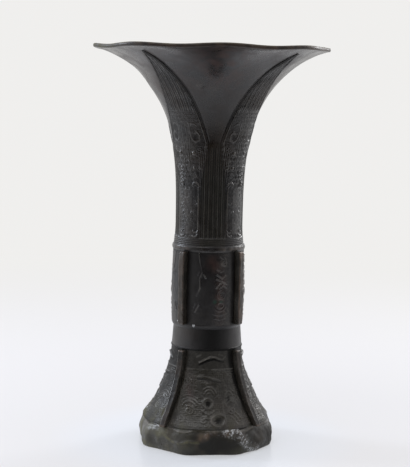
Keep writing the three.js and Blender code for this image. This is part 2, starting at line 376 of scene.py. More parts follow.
def scallop(x, y, z):
    """Pulls the mouth in and down between its lobes."""
    angle = np.arctan2(y, x)
    notch = (1 - np.cos(LOBES * angle)) / 2
    share = smoothstep(z, MOUTH_TOP - LOBE_REACH, MOUTH_TOP) * notch
    pressed = bump(turned_from(angle, PRESSED_SIDE), 1.0) * bump(z - PRESSED_HEIGHT, 13)
    radius = np.hypot(x, y) - LOBE_SCALLOP * share - PRESSED_DEPTH * pressed
    wave = LOBE_WAVE * (1 - 0.8 * bump(turned_from(angle, QUIET_WAVE), 0.5))
    return radius * np.cos(angle), radius * np.sin(angle), z - wave * share


def octagon_stretch(angle, z):
    """How far the foot's skirt is pushed out towards the rounded corners of its octagon."""
    corner = ((1 - np.cos(LOBES * angle)) / 2) ** OCTAGON_SHARPNESS
    share = 1 - smoothstep(z, *OCTAGON_FADE)
    return 1 + OCTAGON_STRENGTH * share * corner * (1 / math.cos(math.pi / LOBES) - 1)


# Making meshes

SHARP_ANGLE = math.radians(50)


def read_places(mesh):
    places = np.empty(len(mesh.vertices) * 3, np.float32)
    mesh.vertices.foreach_get("co", places)
    return places.reshape(-1, 3).astype(float)


def write_places(mesh, x, y, z):
    places = np.stack([x, y, z], axis=1).astype(np.float32) * np.float32(MM)
    mesh.vertices.foreach_set("co", places.ravel())
    mesh.update()


def write_layers(mesh, **layers):
    """Stores shares at the vertices, which the patina reads by name."""
    for name, values in layers.items():
        layer = mesh.attributes.new(name, "FLOAT", "POINT")
        layer.data.foreach_set("value", np.asarray(values, np.float32))


def to_mesh(bm, name):
    bmesh.ops.recalc_face_normals(bm, faces=bm.faces)
    mesh = bpy.data.meshes.new(name)
    bm.to_mesh(mesh)
    bm.free()
    return mesh


def turn_outline(name, outline, steps):
    """Spins a closed outline of radius and height about Z, and gives the mesh, stations and angles."""
    bm = bmesh.new()
    stations = bm.verts.layers.int.new("station")
    corners = []
    for i, (radius, z) in enumerate(outline):
        corner = bm.verts.new((radius * MM, 0, z * MM))
        corner[stations] = i
        corners.append(corner)
    edges = [bm.edges.new(pair) for pair in zip(corners, corners[1:] + corners[:1])]
    bmesh.ops.spin(
        bm, geom=corners + edges, cent=(0, 0, 0), axis=(0, 0, 1), dvec=(0, 0, 0),
        angle=2 * math.pi, steps=steps, use_merge=True,
    )
    mesh = to_mesh(bm, name)
    mesh.set_sharp_from_angle(angle=SHARP_ANGLE)
    station = np.empty(len(mesh.vertices), np.int32)
    mesh.attributes["station"].data.foreach_get("value", station)
    mesh.attributes.remove(mesh.attributes["station"])
    places = read_places(mesh)
    return mesh, station, np.arctan2(places[:, 1], places[:, 0])


def add_piece(mesh, material, slot, *nodes):
    """A finished mesh becomes a piece of the vase that stands for the named frame nodes."""
    piece = bpy.data.objects.new(mesh.name, mesh)
    bpy.context.scene.collection.objects.link(piece)
    mesh.materials.clear()
    mesh.materials.append(material)
    mesh.polygons.foreach_set("use_smooth", [True] * len(mesh.polygons))
    mesh.update()
    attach(piece, "root")
    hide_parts(*nodes)
    return piece


# Materials

# Noise scales of the patina, in lumps to the metre
BROAD_GRAIN = 26
WAX_GRAIN = 60
MIDDLE_GRAIN = 150
FINE_GRAIN = 900
SOLDER_GRAIN = 600


class Graph:
    """A node tree that is written one node at a time."""

    def __init__(self, material):
        self.tree = material.node_tree
        self.tree.nodes.clear()

    def node(self, kind, inputs=(), **settings):
        node = self.tree.nodes.new(kind)
        for key, value in settings.items():
            setattr(node, key, value)
        for key, value in dict(inputs).items():
            if isinstance(value, bpy.types.NodeSocket):
                self.tree.links.new(value, node.inputs[key])
            else:
                node.inputs[key].default_value = value
        return node

    def noise(self, place, scale, detail=4.0, roughness=0.55):
        inputs = {"Vector": place, "Scale": scale, "Detail": detail, "Roughness": roughness}
        return self.node("ShaderNodeTexNoise", inputs).outputs["Fac"]

    def span(self, value, low, high, to_low=0.0, to_high=1.0):
        inputs = {0: value, 1: low, 2: high, 3: to_low, 4: to_high}
        return self.node("ShaderNodeMapRange", inputs, interpolation_type="SMOOTHSTEP").outputs[0]

    def blend(self, share, a, b, kind="MIX"):
        inputs = {0: share, 6: a, 7: b}
        return self.node("ShaderNodeMix", inputs, data_type="RGBA", blend_type=kind).outputs[2]

    def maths(self, operation, a, b=0.0):
        return self.node("ShaderNodeMath", {0: a, 1: b}, operation=operation).outputs[0]

    def layer(self, name):
        inputs = {"attribute_name": name, "attribute_type": "GEOMETRY"}
        return self.node("ShaderNodeAttribute", **inputs).outputs["Fac"]

    def broken(self, name, share):
        """A layer that a noise breaks up."""
        return self.maths("MULTIPLY", share, self.layer(name))


def new_material(name):
    material = bpy.data.materials.new(name)
    material.use_nodes = True
    return material, Graph(material)


def patina(name, brown=0.0, gloss=0.26):
    """Dark waxed bronze: clouded ground, dirt in the recesses and painted shade wherever the relief layer is
    set low, rubbed ridges and any crust.
    """
    material, graph = new_material(name)
    place = graph.node("ShaderNodeTexCoord").outputs["Object"]
    broad = graph.noise(place, BROAD_GRAIN, 3)
    wax = graph.noise(place, WAX_GRAIN, 4)
    middle = graph.noise(place, MIDDLE_GRAIN, 5)
    fine = graph.noise(place, FINE_GRAIN, 4, 0.7)
    # The relief layer is the tone of the cast relief, with painted shade added to it by the pieces
    relief = graph.layer("relief")
    dust = graph.maths("MULTIPLY", graph.span(fine, 0.40, 0.72), graph.span(middle, 0.35, 0.65, 0.1, 1.0))
    rubbed = graph.span(middle, 0.35, 0.6, 0.25, 0.8)
    olive = graph.broken("olive", graph.span(middle, 0.38, 0.62, 0.15, 1.0))
    chalk = graph.broken("chalk", graph.span(fine, 0.44, 0.60, 0.05, 1.0))
    coats = (
        ("moss", graph.layer("earth")),
        ("umber", graph.span(broad, 0.45, 0.75, 0.1 * brown, 0.8)),
        ("plum", graph.broken("plum", graph.span(middle, 0.3, 0.75))),
        # The dust layer is dust and, in places, painted light: it lightens shaded bar sides and margins, and
        # paints a glint and a sheen on the trumpet
        ("dust", graph.broken("dusty", dust)),
        # Dark where the relief layer is low: dirt in the hollows and painted shade
        ("shade_and_dirt", graph.span(relief, -0.05, -0.55, 0.0, 0.9)),
        ("dust", graph.maths("MULTIPLY", graph.span(relief, 0.45, 1.0), rubbed)),
        ("worn", graph.broken("worn", graph.span(middle, 0.36, 0.58, 0.3, 1.0))),
        ("olive", olive),
        ("verdigris", graph.layer("green")),
        ("chalk", chalk),
    )
    tone = colour("bronze")
    for finish, share in coats:
        tone = graph.blend(share, tone, colour(finish))
    roughening = (
        graph.span(wax, 0.35, 0.7, -0.03, 0.12),
        graph.span(relief, 0.0, -0.6, 0.0, 0.25),
        graph.maths("MULTIPLY", graph.maths("ADD", olive, chalk), 0.3),
    )
    rough = graph.span(middle, 0.3, 0.7, gloss - 0.04, gloss + 0.08)
    for more in roughening:
        rough = graph.maths("ADD", rough, more)
    height = graph.maths("ADD", graph.maths("MULTIPLY", fine, 0.6), middle)
    bumps = graph.node("ShaderNodeBump", {"Strength": 0.22, "Distance": 0.0004, "Height": height})
    # Specular IOR Level drops where the relief layer is low: painted shade that turns down the reflection, as
    # occlusion in a hollow would
    shader = graph.node("ShaderNodeBsdfPrincipled", {
        "Base Color": tone, "Roughness": rough, "Normal": bumps.outputs[0],
        "IOR": 1.55, "Specular IOR Level": graph.span(relief, 0.0, -0.7, 0.5, 0.12),
    })
    graph.node("ShaderNodeOutputMaterial", {"Surface": shader.outputs[0]})
    return material


def solder_finish():
    """Dull grey soft solder with a grainy skin."""
    material, graph = new_material("soft_solder")
    place = graph.node("ShaderNodeTexCoord").outputs["Object"]
    grain = graph.noise(place, SOLDER_GRAIN, 5)
    tone = graph.blend(graph.span(grain, 0.3, 0.7), colour("solder"), colour("dust"))
    bumps = graph.node("ShaderNodeBump", {"Strength": 0.4, "Distance": 0.0005, "Height": grain})
    shader = graph.node("ShaderNodeBsdfPrincipled", {
        "Base Color": tone, "Roughness": 0.5, "Metallic": 0.8, "Normal": bumps.outputs[0],
    })
    graph.node("ShaderNodeOutputMaterial", {"Surface": shader.outputs[0]})
    return material


# Neck and mouth

# Columns in an eighth of the turn: over the ribbed strip or the smooth panel above it, in the groove
# along the blade's edge, and under a blade
STRIP_COLUMNS = 27
GROOVE_COLUMNS = 5
UNDER_COLUMNS = 6
EIGHTH_COLUMNS = STRIP_COLUMNS + GROOVE_COLUMNS + UNDER_COLUMNS
GROOVE_REACH = 1.25
GROOVE_MIDDLE = 0.45
CREASE_REACH = 0.65
STRIP_RAISE = 0.35
STRIP_FADE = 6
UNDER_LEAF = -0.2
RING_PITCH = 1.15
RING_HEIGHT = 0.16

# Stations of the neck's outline: in the joint or the well, on the cast face, or on the lip
HIDDEN, FACE, LIP = 0, 1, 2

# Marks on the front of the trumpet: how far right of the panel's middle, and at what height
KNOCK = (-11.4, 225.4)
KNOCK_HOLLOW = (-8.5, 223)
STREAK = (-27, 241.5)
# This place marks a painted highlight: the glint on the knock's dent, laid on as a pale patch
KNOCK_GLINT = (-11.2, 225.6)
SMALL_SCUFF = (-3, 221)
BLUSH = (1, 237)
LIP_RUBBED_TOWARDS = math.radians(-58)


def neck_angles(angle, z, radius):
    """Moves evenly spaced columns so that they follow the edges of the leaf blades."""
    step = np.round(angle / (2 * math.pi) * LOBES * EIGHTH_COLUMNS)
    eighth = np.mod(step, 2 * EIGHTH_COLUMNS)
    side = np.where(eighth > EIGHTH_COLUMNS, -1, 1)
    column = np.where(eighth > EIGHTH_COLUMNS, 2 * EIGHTH_COLUMNS - eighth, eighth)
    axis = np.round((step - side * column) / (2 * EIGHTH_COLUMNS)) * QUARTER
    edge = EIGHTH - leaf_half_angle(np.clip(z, LEAF_LOW, LEAF_TIP))
    groove = np.minimum(GROOVE_REACH / radius, 0.5 * edge)
    in_strip = (edge - groove) * column / STRIP_COLUMNS
    in_groove = edge - groove + groove * (column - STRIP_COLUMNS) / GROOVE_COLUMNS
    share = (column - STRIP_COLUMNS - GROOVE_COLUMNS) / UNDER_COLUMNS
    under = mix(edge, EIGHTH, share)
    offset = np.where(column <= STRIP_COLUMNS, in_strip, np.where(share <= 0, in_groove, under))
    even = EIGHTH * column / EIGHTH_COLUMNS
    offset = mix(offset, even, smoothstep(z, LEAF_TIP - 0.5, LEAF_TIP + 2.2))
    return axis + side * offset, offset, edge


def neck_relief(offset, edge, z, radius):
    """Height of the shell's surface over the plain neck, in millimetres, and its relief from -1 to 1."""
    from_axis = offset * radius
    to_edge = (edge - offset) * radius
    strip = 1 - smoothstep(z, LEAF_ROOT - STRIP_FADE, LEAF_ROOT + 1.5)
    low = smoothstep(z, LEAF_LOW, LEAF_LOW + 1.2)
    ribs = 0.5 + 0.5 * np.cos(2 * math.pi * from_axis / mm("rib_pitch"))
    ribs = ribs * (0.65 + 0.35 * np.cos(2.3 * from_axis + 0.6 + 1.5 * np.cos(z / 31)))
    rings = 0.5 + 0.5 * np.cos(2 * math.pi * (z - KNOP_TOP) / RING_PITCH)
    banding = (1 - low) * ((rings - 0.5) * 0.5 - 0.25)
    rib_height = mm("rib_height") * low * (ribs - 0.3) * smoothstep(to_edge, 0.0, 0.5)
    height = strip * (STRIP_RAISE + rib_height) + (1 - low) * (STRIP_RAISE + RING_HEIGHT * rings)
    crease = bump(to_edge - GROOVE_MIDDLE, CREASE_REACH) * low * (1 - smoothstep(z, LEAF_TIP - 6, LEAF_TIP))
    crease = crease * mix(0.15, 1, smoothstep(z, LEAF_ROOT - STRIP_FADE, LEAF_ROOT + STRIP_FADE))
    height = height - mm("edge_groove") * crease
    height = np.where((to_edge < 0) & (z > LEAF_LOW) & (z < LEAF_TIP), UNDER_LEAF, height)
    # The tone darkens in the crease beside each blade: dirt in it and painted shade
    tone = strip * low * (0.8 * ribs - 0.5) + banding - crease * 0.2
    return height, np.clip(tone, -1, 1)


def neck_outline():
    """Stations round the neck's section: radius, height, outward direction and which face it is on."""
    line = neck_line()
    root = line.distance(LEAF_ROOT)
    strip_top, panel_low = line.distance(LEAF_ROOT - 4), line.distance(LEAF_ROOT + 3)
    spots = [
        np.arange(0, 6, 0.3),
        np.arange(6, strip_top, 1.3),
        np.arange(strip_top, panel_low, 0.45),
        np.linspace(panel_low, line.length, 76),
    ]
    r, z, out_r, out_z = line.at(np.concatenate(spots))
    rows = [(mm("well_radius"), NECK_LOW, 0, 0, HIDDEN), (SPIGOT_RADIUS, NECK_LOW, 0, 0, HIDDEN)]
    rows.append((SPIGOT_RADIUS, KNOP_TOP - 0.1, 0, 0, HIDDEN))
    rows += [(*row, FACE) for row in zip(r, z, out_r, out_z)]
    middle = MOUTH_TOP - mm("lip_height") / 2
    band = mm("lip_height") / 2
    roll = LIP_RADIUS - mm("mouth_radius")
    for turn in np.radians(np.linspace(-60, 90, 9)):
        side = math.cos(turn) ** 0.6 if math.cos(turn) > 1e-6 else 0
        rows.append((mm("mouth_radius") - roll + 2 * roll * side, middle + band * math.sin(turn), 0, 0, LIP))
    r, z, out_r, out_z = line.at(np.linspace(line.length - 1.6, root, 40))
    column_wall = mm("waist_radius") - mm("well_radius")
    wall = mix(column_wall, mm("lip_height"), smoothstep(z, LEAF_ROOT, MOUTH_TOP))
    rows += [(*row, HIDDEN) for row in zip(r - wall * out_r, z - wall * out_z, out_r, out_z)]
    rows += [(mm("well_radius"), z, 0, 0, HIDDEN) for z in np.linspace(LEAF_ROOT - 6, KNOP_TOP, 8)]
    return np.array(rows)


def make_neck():
    rows = neck_outline()
    mesh, station, angle = turn_outline("neck_casting", rows[:, :2].tolist(), LOBES * EIGHTH_COLUMNS)
    radius, z, out_r, out_z, kind = rows[station].T
    outside = kind == FACE
    lip = (kind == LIP) * 1.0
    brim = lip * smoothstep(z, MOUTH_TOP - 0.8, MOUTH_TOP - 0.1)
    turned, offset, edge = neck_angles(angle, z, radius)
    ahead = turned_from(turned, -QUARTER) * radius
    even = round_places(radius, turned, z)

    # Knocks and waves of the casting, then the scallops of the mouth
    height, relief = neck_relief(offset, edge, z, radius)
    swell = clouds(even, 17, 3) * 0.14 + clouds(even, 5, 4) * 0.03
    knock = spot(ahead, z, KNOCK, 4.5, up=1.3) - 0.8 * spot(ahead, z, KNOCK_HOLLOW, 3)
    right, above = ahead - STREAK[0], z - STREAK[1]
    streak = bump(np.hypot(0.5 * right, 2.2 * above + 0.4 * right), 5)
    swell = swell + 0.32 * knock + 0.2 * streak
    height = np.where(outside, height + swell * smoothstep(z, LEAF_ROOT, LEAF_ROOT + 8), 0)
    dents = clouds(even, 9, 5) * 0.06 * lip
    reach = radius + height * out_r - np.abs(dents)
    x, y, z = scallop(reach * np.cos(turned), reach * np.sin(turned), z + height * out_z)
    write_places(mesh, x, y, z)

    facing = np.cos(turned - LIP_RUBBED_TOWARDS)
    blush = 0.45 + 1.1 * spot(ahead, z, BLUSH, 20, across=0.8)
    # Pale patches in the dust layer: the one on the knock is a painted highlight of its glint
    glint_and_scuff = 2.2 * spot(ahead, z, KNOCK_GLINT, 4, up=1.1) + 1.2 * spot(ahead, z, SMALL_SCUFF, 5)
    # Cloudy dust, with a painted sheen added that grows towards the trumpet's left half
    haze_and_left_sheen = 0.07 + 0.25 * clouds(even, 11, 6) + 0.2 * smoothstep(-ahead, 0, 20)
    low = 1 - smoothstep(z, LEAF_ROOT - 10, LEAF_ROOT)
    write_layers(
        mesh,
        relief=np.where(outside, relief, -0.3 * lip),
        earth=0.8 * outside * (1 - smoothstep(z, LEAF_ROOT - 3, LEAF_ROOT)) * (offset < edge),
        # The lip's top edge is painted lighter, worn metal over olive: partly wear, partly a painted
        # highlight along the rim
        worn=lip * (0.12 + 0.3 * smoothstep(facing, -0.1, 0.6)) + 0.3 * brim,
        olive=np.maximum(lip * (1 - smoothstep(facing, -0.4, 0.2)) * 0.8, 0.9 * brim),
        plum=outside * smoothstep(z, LEAF_ROOT + 10, LEAF_ROOT + 35) * blush,
        dusty=outside * (mix(np.clip(haze_and_left_sheen, 0, 1), 0.35, low) + glint_and_scuff),
    )
    add_piece(mesh, patina("neck_patina"), "dark_bronze", "neck_and_mouth")


# Leaf blades with the column panels under them

# A hook beside a blade's foot, and the hollow inside it: across from the blade's middle, and height
LEAF_HOOK = [
    (4.4, 203), (4.2, 197), (5.0, 193), (7.2, 191.2), (9.6, 192.4), (10.3, 195.4), (8.8, 197.6), (7.4, 196.4),
]
LEAF_HOOK_HOLLOW = (7.3, 194.3)


def leaf_ornament(s, z, edge_gap):
    """Ornament of a blade and its panel: height over the panel, in millimetres."""
    a = np.abs(s)
    spiral = mm("spiral_pitch")
    blade = smoothstep(z, LEAF_ROOT - 8, LEAF_ROOT)
    inside = smoothstep(edge_gap, mix(0.3, 1.9, blade), mix(0.6, 2.3, blade))
    height = 0.5 * bump(edge_gap - 1.3, 0.6) * blade

    # Upright ribs beside the panel, threads up the blade, and the curls under them
    ribs = 0.5 + 0.5 * np.cos(2 * math.pi * (a - 7.25) / mm("rib_pitch"))
    margin = smoothstep(a, 7.6, 8.0) * (1 - blade) * smoothstep(z, 132, 133)
    height += 0.3 * ribs * margin
    turn = 2 * math.pi * s / mm("thread_pitch")
    threads = 0.32 + 0.34 * np.cos(turn) + 0.2 * np.cos(turn / 2)
    height += 0.7 * threads * inside * smoothstep(z, 209, 213.5) * (1 - 0.7 * smoothstep(z, 228, 236))
    curls = thunder(s, z - 203, 2.4, 0.8)
    height += 0.26 * curls * inside * smoothstep(z, 200.5, 204) * (1 - smoothstep(z, 208.5, 211))

    # Spiral ground, quieter on the panel and towards the edges
    body = (1 - smoothstep(a, 3.0, 3.5)) * smoothstep(z, 133.5, 134) * (1 - smoothstep(z, 161, 163))
    field = inside * (1 - smoothstep(z, 200.5, 204)) * (1 - margin)
    quiet = (1 - 0.5 * body) * mix(0.6, 1, smoothstep(z, 163, 172)) * (1 - 0.5 * smoothstep(a, 3, 9))
    height += 0.26 * thunder(s + spiral / 2, z, spiral) * field * quiet + 0.12 * body * inside
    strokes = (
        (LEAF_HOOK, 0.7, 0.24),
        (arc(7.2, 200.5, 2.0, 20, 160), 0.5, 0.25),
        ([(1.3, 202), (1.7, 194), (1.1, 187), (1.8, 179), (1.2, 171)], 0.45, 0.22),
        ([(2.9, 201), (3.3, 193), (2.6, 188), (3.2, 179), (2.4, 172)], 0.45, 0.20),
        (coil(9.0, 186.5, 2.0, 1.5, 180), 0.45, 0.16),
        (coil(8.6, 179.6, 1.6, 1.5, 0, -1), 0.45, 0.15),
        (coil(5.6, 170.2, 1.7, 1.5, 90), 0.45, 0.22),
        (arc(5.4, 163.6, 2.1, 10, 170, 1.15), 0.6, 0.65),
        (arc(5.4, 163.2, 1.0, 0, 180), 0.45, 0.25),
        ([(7.25, 163), (7.25, 135.5), (6.6, 133), (5.2, 132.2), (3.6, 132.6)], 0.5, 0.5),
        (arc(5.5, 136.2, 1.5, 190, 350), 0.5, 0.6),
        (arc(3.2, 146.5, 1.5, 20, 150), 0.45, 0.24),
        (arc(5.4, 153.5, 1.3, 200, 340), 0.45, 0.18),
    )
    studs = ((5.2, 184, 1.4, 0.8), (8.5, 175, 1.1, 0.4), (4.7, 175, 1.0, 0.6))
    height = raise_lines(height, a, z, strokes, 1.3, 1.5, inside)
    for s0, z0, radius, rise in studs:
        height = np.maximum(height, rise * dome(a, z, s0, z0, radius) * inside)
        height = np.maximum(height, 0.25 * ring(a, z, s0, z0, radius + 0.75) * inside)
    return height - 0.07 * spot(a, z, LEAF_HOOK_HOLLOW, 2.1, up=0.8) * (height < 0.2) * inside


# Steps of a blade's grids, and the size of its rim, its sunk edge and its back
LEAF_ACROSS = 128
LEAF_UP = 560
LEAF_BACK_ACROSS = 10
LEAF_BACK_UP = 60
LEAF_RIM_STEPS = 3
LEAF_RIM_WIDTH = 0.15
LEAF_SINK = 0.45
LEAF_BACK = 0.7
LEAF_GRAIN = 0.07
FLANK_WEAR = 0.8


def stretched(share, half_length, half_steps):
    """Even steps from -1 to 1 become distances whose last few are a narrow rim."""
    steps = share * half_steps
    inner = half_steps - LEAF_RIM_STEPS
    rim = np.minimum(LEAF_RIM_STEPS * LEAF_RIM_WIDTH, 0.5 * half_length)
    body = (half_length - rim) * steps / inner
    past = np.abs(steps) - inner
    edge = np.sign(steps) * (half_length - rim + rim * past / LEAF_RIM_STEPS)
    return np.where(past > 0, edge, body)


def leaf_plate(name):
    """A thin closed plate on a fine front grid and a coarse back, flat and two units square."""
    bm = bmesh.new()
    bmesh.ops.create_grid(bm, x_segments=LEAF_ACROSS, y_segments=LEAF_UP, size=1)
    loops = [e for e in bm.edges if e.is_boundary]
    back = bmesh.ops.create_grid(bm, x_segments=LEAF_BACK_ACROSS, y_segments=LEAF_BACK_UP, size=1)["verts"]
    bmesh.ops.translate(bm, verts=back, vec=(0, 0, -1))
    loops += [e for e in bm.edges if e.is_boundary and e.verts[0].co.z < -0.5]
    bmesh.ops.bridge_loops(bm, edges=loops)
    return to_mesh(bm, name)


def make_leaf(corner, middle, material, seed):
    mesh = leaf_plate("leaf_blade_" + corner)
    line = neck_line()
    u, v, depth = read_places(mesh).T
    low, high = line.distance(LEAF_LOW), line.distance(LEAF_TIP)
    half_length = (high - low) / 2
    along = stretched(v, half_length, LEAF_UP / 2)
    r, z, out_r, out_z = line.at(low + half_length + along)
    half_width = leaf_half_angle(z) * r
    s = stretched(u, half_width, LEAF_ACROSS / 2)
    edge_gap = np.minimum(half_width - np.abs(s), half_length - np.abs(along))
    angle = middle + s / r
    even = np.stack([s + 60 * seed, along, z], axis=1)

    # The ornament is worn unevenly, and most on the flanks of the column
    ornament = leaf_ornament(s, z, edge_gap)
    flank = FLANK_WEAR * smoothstep(np.abs(np.cos(angle)), 0.80, 0.92) * (1 - smoothstep(z, 160, 172))
    left_on = (0.8 + 0.35 * clouds(even, 9, seed)) * (1 - flank)
    rise = smoothstep(edge_gap, 0, mix(0.16, 0.34, smoothstep(z, LEAF_ROOT - 6, LEAF_ROOT + 6)))
    lift = mm("leaf_height") * mix(0.65, 1, smoothstep(z, LEAF_ROOT - 10, LEAF_ROOT + 2))
    front = mix(-LEAF_SINK, lift, rise) + ornament * left_on + LEAF_GRAIN * clouds(even, 1.5, seed + 5)
    height = np.where(depth > -0.5, front, -LEAF_BACK)
    reach = r + height * out_r
    x, y, z = scallop(reach * np.cos(angle), reach * np.sin(angle), z + height * out_z)
    write_places(mesh, x, y, z)

    blade = smoothstep(z, LEAF_ROOT - 6, LEAF_ROOT + 6)
    # Darker along the blade's edge: dirt and painted shade in the crease there
    edge_dirt_and_shade = mix(0.1, 0.3, blade) * (1 - smoothstep(edge_gap, 0.1, 0.5))
    relief = (ornament * left_on - 0.15) * (1 - flank) * 3.0 * smoothstep(edge_gap, 0.25, 0.8) - edge_dirt_and_shade
    write_layers(mesh, relief=np.clip(relief, -1, 1), dusty=np.full(len(z), 0.6))
    return add_piece(mesh, material, "dark_bronze", "neck_and_mouth")


def make_leaves():
    material = patina("leaf_patina")
    for i, corner in enumerate(CORNERS):
        make_leaf(corner, (i + 0.5) * QUARTER, material, i + 1)


# Knop

# Heights down the knop's bore, under its top
BORE_HEIGHTS = (115, 103, 91)

# White specks at the lower left: how far right of the panel's middle, height and radius
SPECKS = ((-10.9, 76.9, 0.85), (-23.8, 78.6, 0.6), (-25.4, 85, 0.5))

# Green and reddish marks on the panel, from its middle to the right and up
GREEN_SPOT = (2.2, 92.3)
GREEN_STREAK = (6, 92.2)
RED_CLOUD = (0, 116)


def panel_place(angle, radius):
    """Which of the four panels a point lies in, 0 at the front, and its place across the panel."""
    turn = (angle + QUARTER) / QUARTER
    panel = np.round(turn)
    return np.mod(panel, 4), (turn - panel) * QUARTER * radius


def knop_ornament(s, z):
    """The dragon panel: a thin broken line at the left, and scrolls, feathers and coils at the right."""
    strokes = (
        ([(-8.0, 122.5), (-7.2, 117), (-5.6, 111)], 0.45, 0.75),
        ([(-3.7, 107.3), (-5.6, 110.6), (-7.1, 107.1), (-7.0, 100.9), (-9.1, 95.8)], 0.5, 0.9),
        ([(-8.4, 108.9), (-7.5, 110.8)], 0.45, 0.8),
        ([(-7.7, 90.4), (-10.2, 85.6)], 0.5, 0.9),
        ([(-9.6, 91.2), (-11.0, 88.4)], 0.4, 0.5),
        (coil(6.6, 117.6, 2.3, 1.6, 60, -1), 0.5, 0.9),
        ([(4.9, 120.2), (6.9, 117.2), (5.6, 115.8), (8.3, 114.4), (9.2, 116.4)], 0.55, 1.0),
        ([(3.1, 112.4), (5.6, 110.8), (7.2, 111.6)], 0.45, 0.6),
        ([(3.1, 109.2), (6.5, 106.6), (8.7, 108.8)], 0.5, 0.8),
        ([(2.8, 106.6), (5.2, 105.2), (6.2, 104.6)], 0.45, 0.6),
        ([(2.9, 100.9), (6.4, 104.7), (9.5, 103.0)], 0.55, 1.0),
        ([(4.8, 100.6), (7.4, 102.4), (9.4, 100.8)], 0.45, 0.8),
        (coil(6.2, 96.4, 3.0, 2.2, 100), 0.45, 0.9),
        (arc(5.6, 89.9, 1.9, 0, 360, 1, 16), 0.5, 0.8),
        (arc(5.4, 89.6, 3.4, 200, 345), 0.45, 0.6),
        ([(1.6, 84.6), (5, 83.6), (8.6, 84.4)], 0.45, 0.6),
        ([(2.2, 81.8), (5.4, 81.0), (8.8, 81.8)], 0.45, 0.5),
    )
    height = 0.16 * thunder(s, z, 3.0) * smoothstep(s, -1.0, 2.5)
    height = raise_lines(height, s, z, strokes, 1.25)
    return height * (1 - smoothstep(np.abs(s), 12.2, 14))


def knop_band(places, z):
    """The ring of worn beads under the neck: height in millimetres."""
    middle = (KNOP_BAR[1] + KNOP_TOP) / 2
    half = (KNOP_TOP - KNOP_BAR[1]) / 2
    across = np.clip(1 - ((z - middle) / half) ** 2, 0, 1) ** 0.6
    return across * (0.44 + 0.13 * clouds(places, 2.3, 14) + 0.1 * clouds(places, 5, 15))


def knop_outline():
    """Stations round the knop's section: radius, height and which face it is on."""
    rows = [(KNOP_BORE, KNOP_LOW, HIDDEN), (COLLAR_TOP_RADIUS, KNOP_LOW, HIDDEN)]
    for share in np.linspace(0.15, 1, 6):
        z = KNOP_LOW + KNOP_EDGE * share
        rows.append((mix(COLLAR_TOP_RADIUS, knop_radius(z), math.sin(share * QUARTER)), z, HIDDEN))
    for z in np.arange(KNOP_LOW + KNOP_EDGE + 0.3, KNOP_TOP - 0.15, 0.3):
        rows.append((knop_radius(min(z, KNOP_BAR[1])), z, FACE))
    rows.append((mm("knop_radius") - 0.2, KNOP_TOP, HIDDEN))
    rows += [(KNOP_BORE, z, HIDDEN) for z in (KNOP_TOP, *BORE_HEIGHTS)]
    return np.array(rows)


def make_knop():
    rows = knop_outline()
    around = bpy.context.scene.vase_stage.around
    mesh, station, angle = turn_outline("knop_casting", rows[:, :2].tolist(), around)
    radius, z, outside = rows[station].T
    wide = mm("knop_radius")
    panel, s = panel_place(angle, wide)
    s_right = s * np.where(panel % 2 < 0.5, 1, -1)
    ahead = turned_from(angle, -QUARTER) * wide
    even = round_places(radius, angle, z)

    left_on = knop_ornament(s_right, z) * (0.75 + 0.4 * clouds(even, 8, 11))
    uneven = 0.10 * clouds(even, 9, 12) + 0.03 * clouds(even, 2.2, 13)
    band = knop_band(even, z)
    specks = sum(dome(ahead, z, *speck) for speck in SPECKS)
    reach = radius + outside * (left_on * mm("knop_relief") + uneven + 0.5 * specks + band)
    write_places(mesh, reach * np.cos(angle), reach * np.sin(angle), z)

    # Painted shade under the bead band and, through margin, beside the bars: the panel's tone is darkened
    # there
    shade_under_band = bump(z - KNOP_BAR[1] + 0.4, 0.9)
    margin = 1 - smoothstep(EIGHTH * wide - np.abs(s) - mm("bar_width") / 2, 0.3, 5.0)
    relief = left_on * 2.1 - 0.25 - 0.15 * margin + band * 1.6 - 0.15 * shade_under_band
    red = bump(s_right - 6.0, 5.5) * bump(z - 97, 27) + 0.9 * spot(s_right, z, RED_CLOUD, 7, up=0.8)
    green = np.maximum(spot(s_right, z, GREEN_SPOT, 2.2), spot(s_right, z, GREEN_STREAK, 1.3, across=0.5))
    write_layers(
        mesh,
        # Off the cast face the tone is set low; on the knop's rounded lower edge this is painted shade that
        # dims its reflection
        relief=np.clip(np.where(outside, relief, -0.25), -1, 1),
        chalk=4.0 * specks,
        green=outside * green,
        plum=outside * red * 1.4,
        worn=outside * 0.5 * np.clip(band * 3 - 1.2, 0, 1) * (0.3 + 0.7 * np.abs(s) / 17),
        dusty=outside * (0.15 + 0.5 * smoothstep(s_right, 2, 5)),
    )
    add_piece(mesh, patina("knop_patina", brown=1.0), "dark_bronze", "knop")


# Foot

# Stations of the foot's outline: on the flare with its panels, on the skirt, or on the collar and ledge
FLARE, SKIRT, COLLAR = 1, 2, 3

# Places on the mask panel, from its middle to the right and up
MASK_NOSE = (-1.8, 30.0)
MASK_EYE = (11.4, 32.4)
MASK_RING = (4.6, 20.6)
MASK_RING_SQUASH = 0.74
MASK_TOP = 49.6
BROW = [(-6.8, 54.0), (-3.4, 55.8), (0.2, 57.6), (3.0, 57.2), (5.6, 56.0), (8.0, 55.8), (9.8, 57.2)]


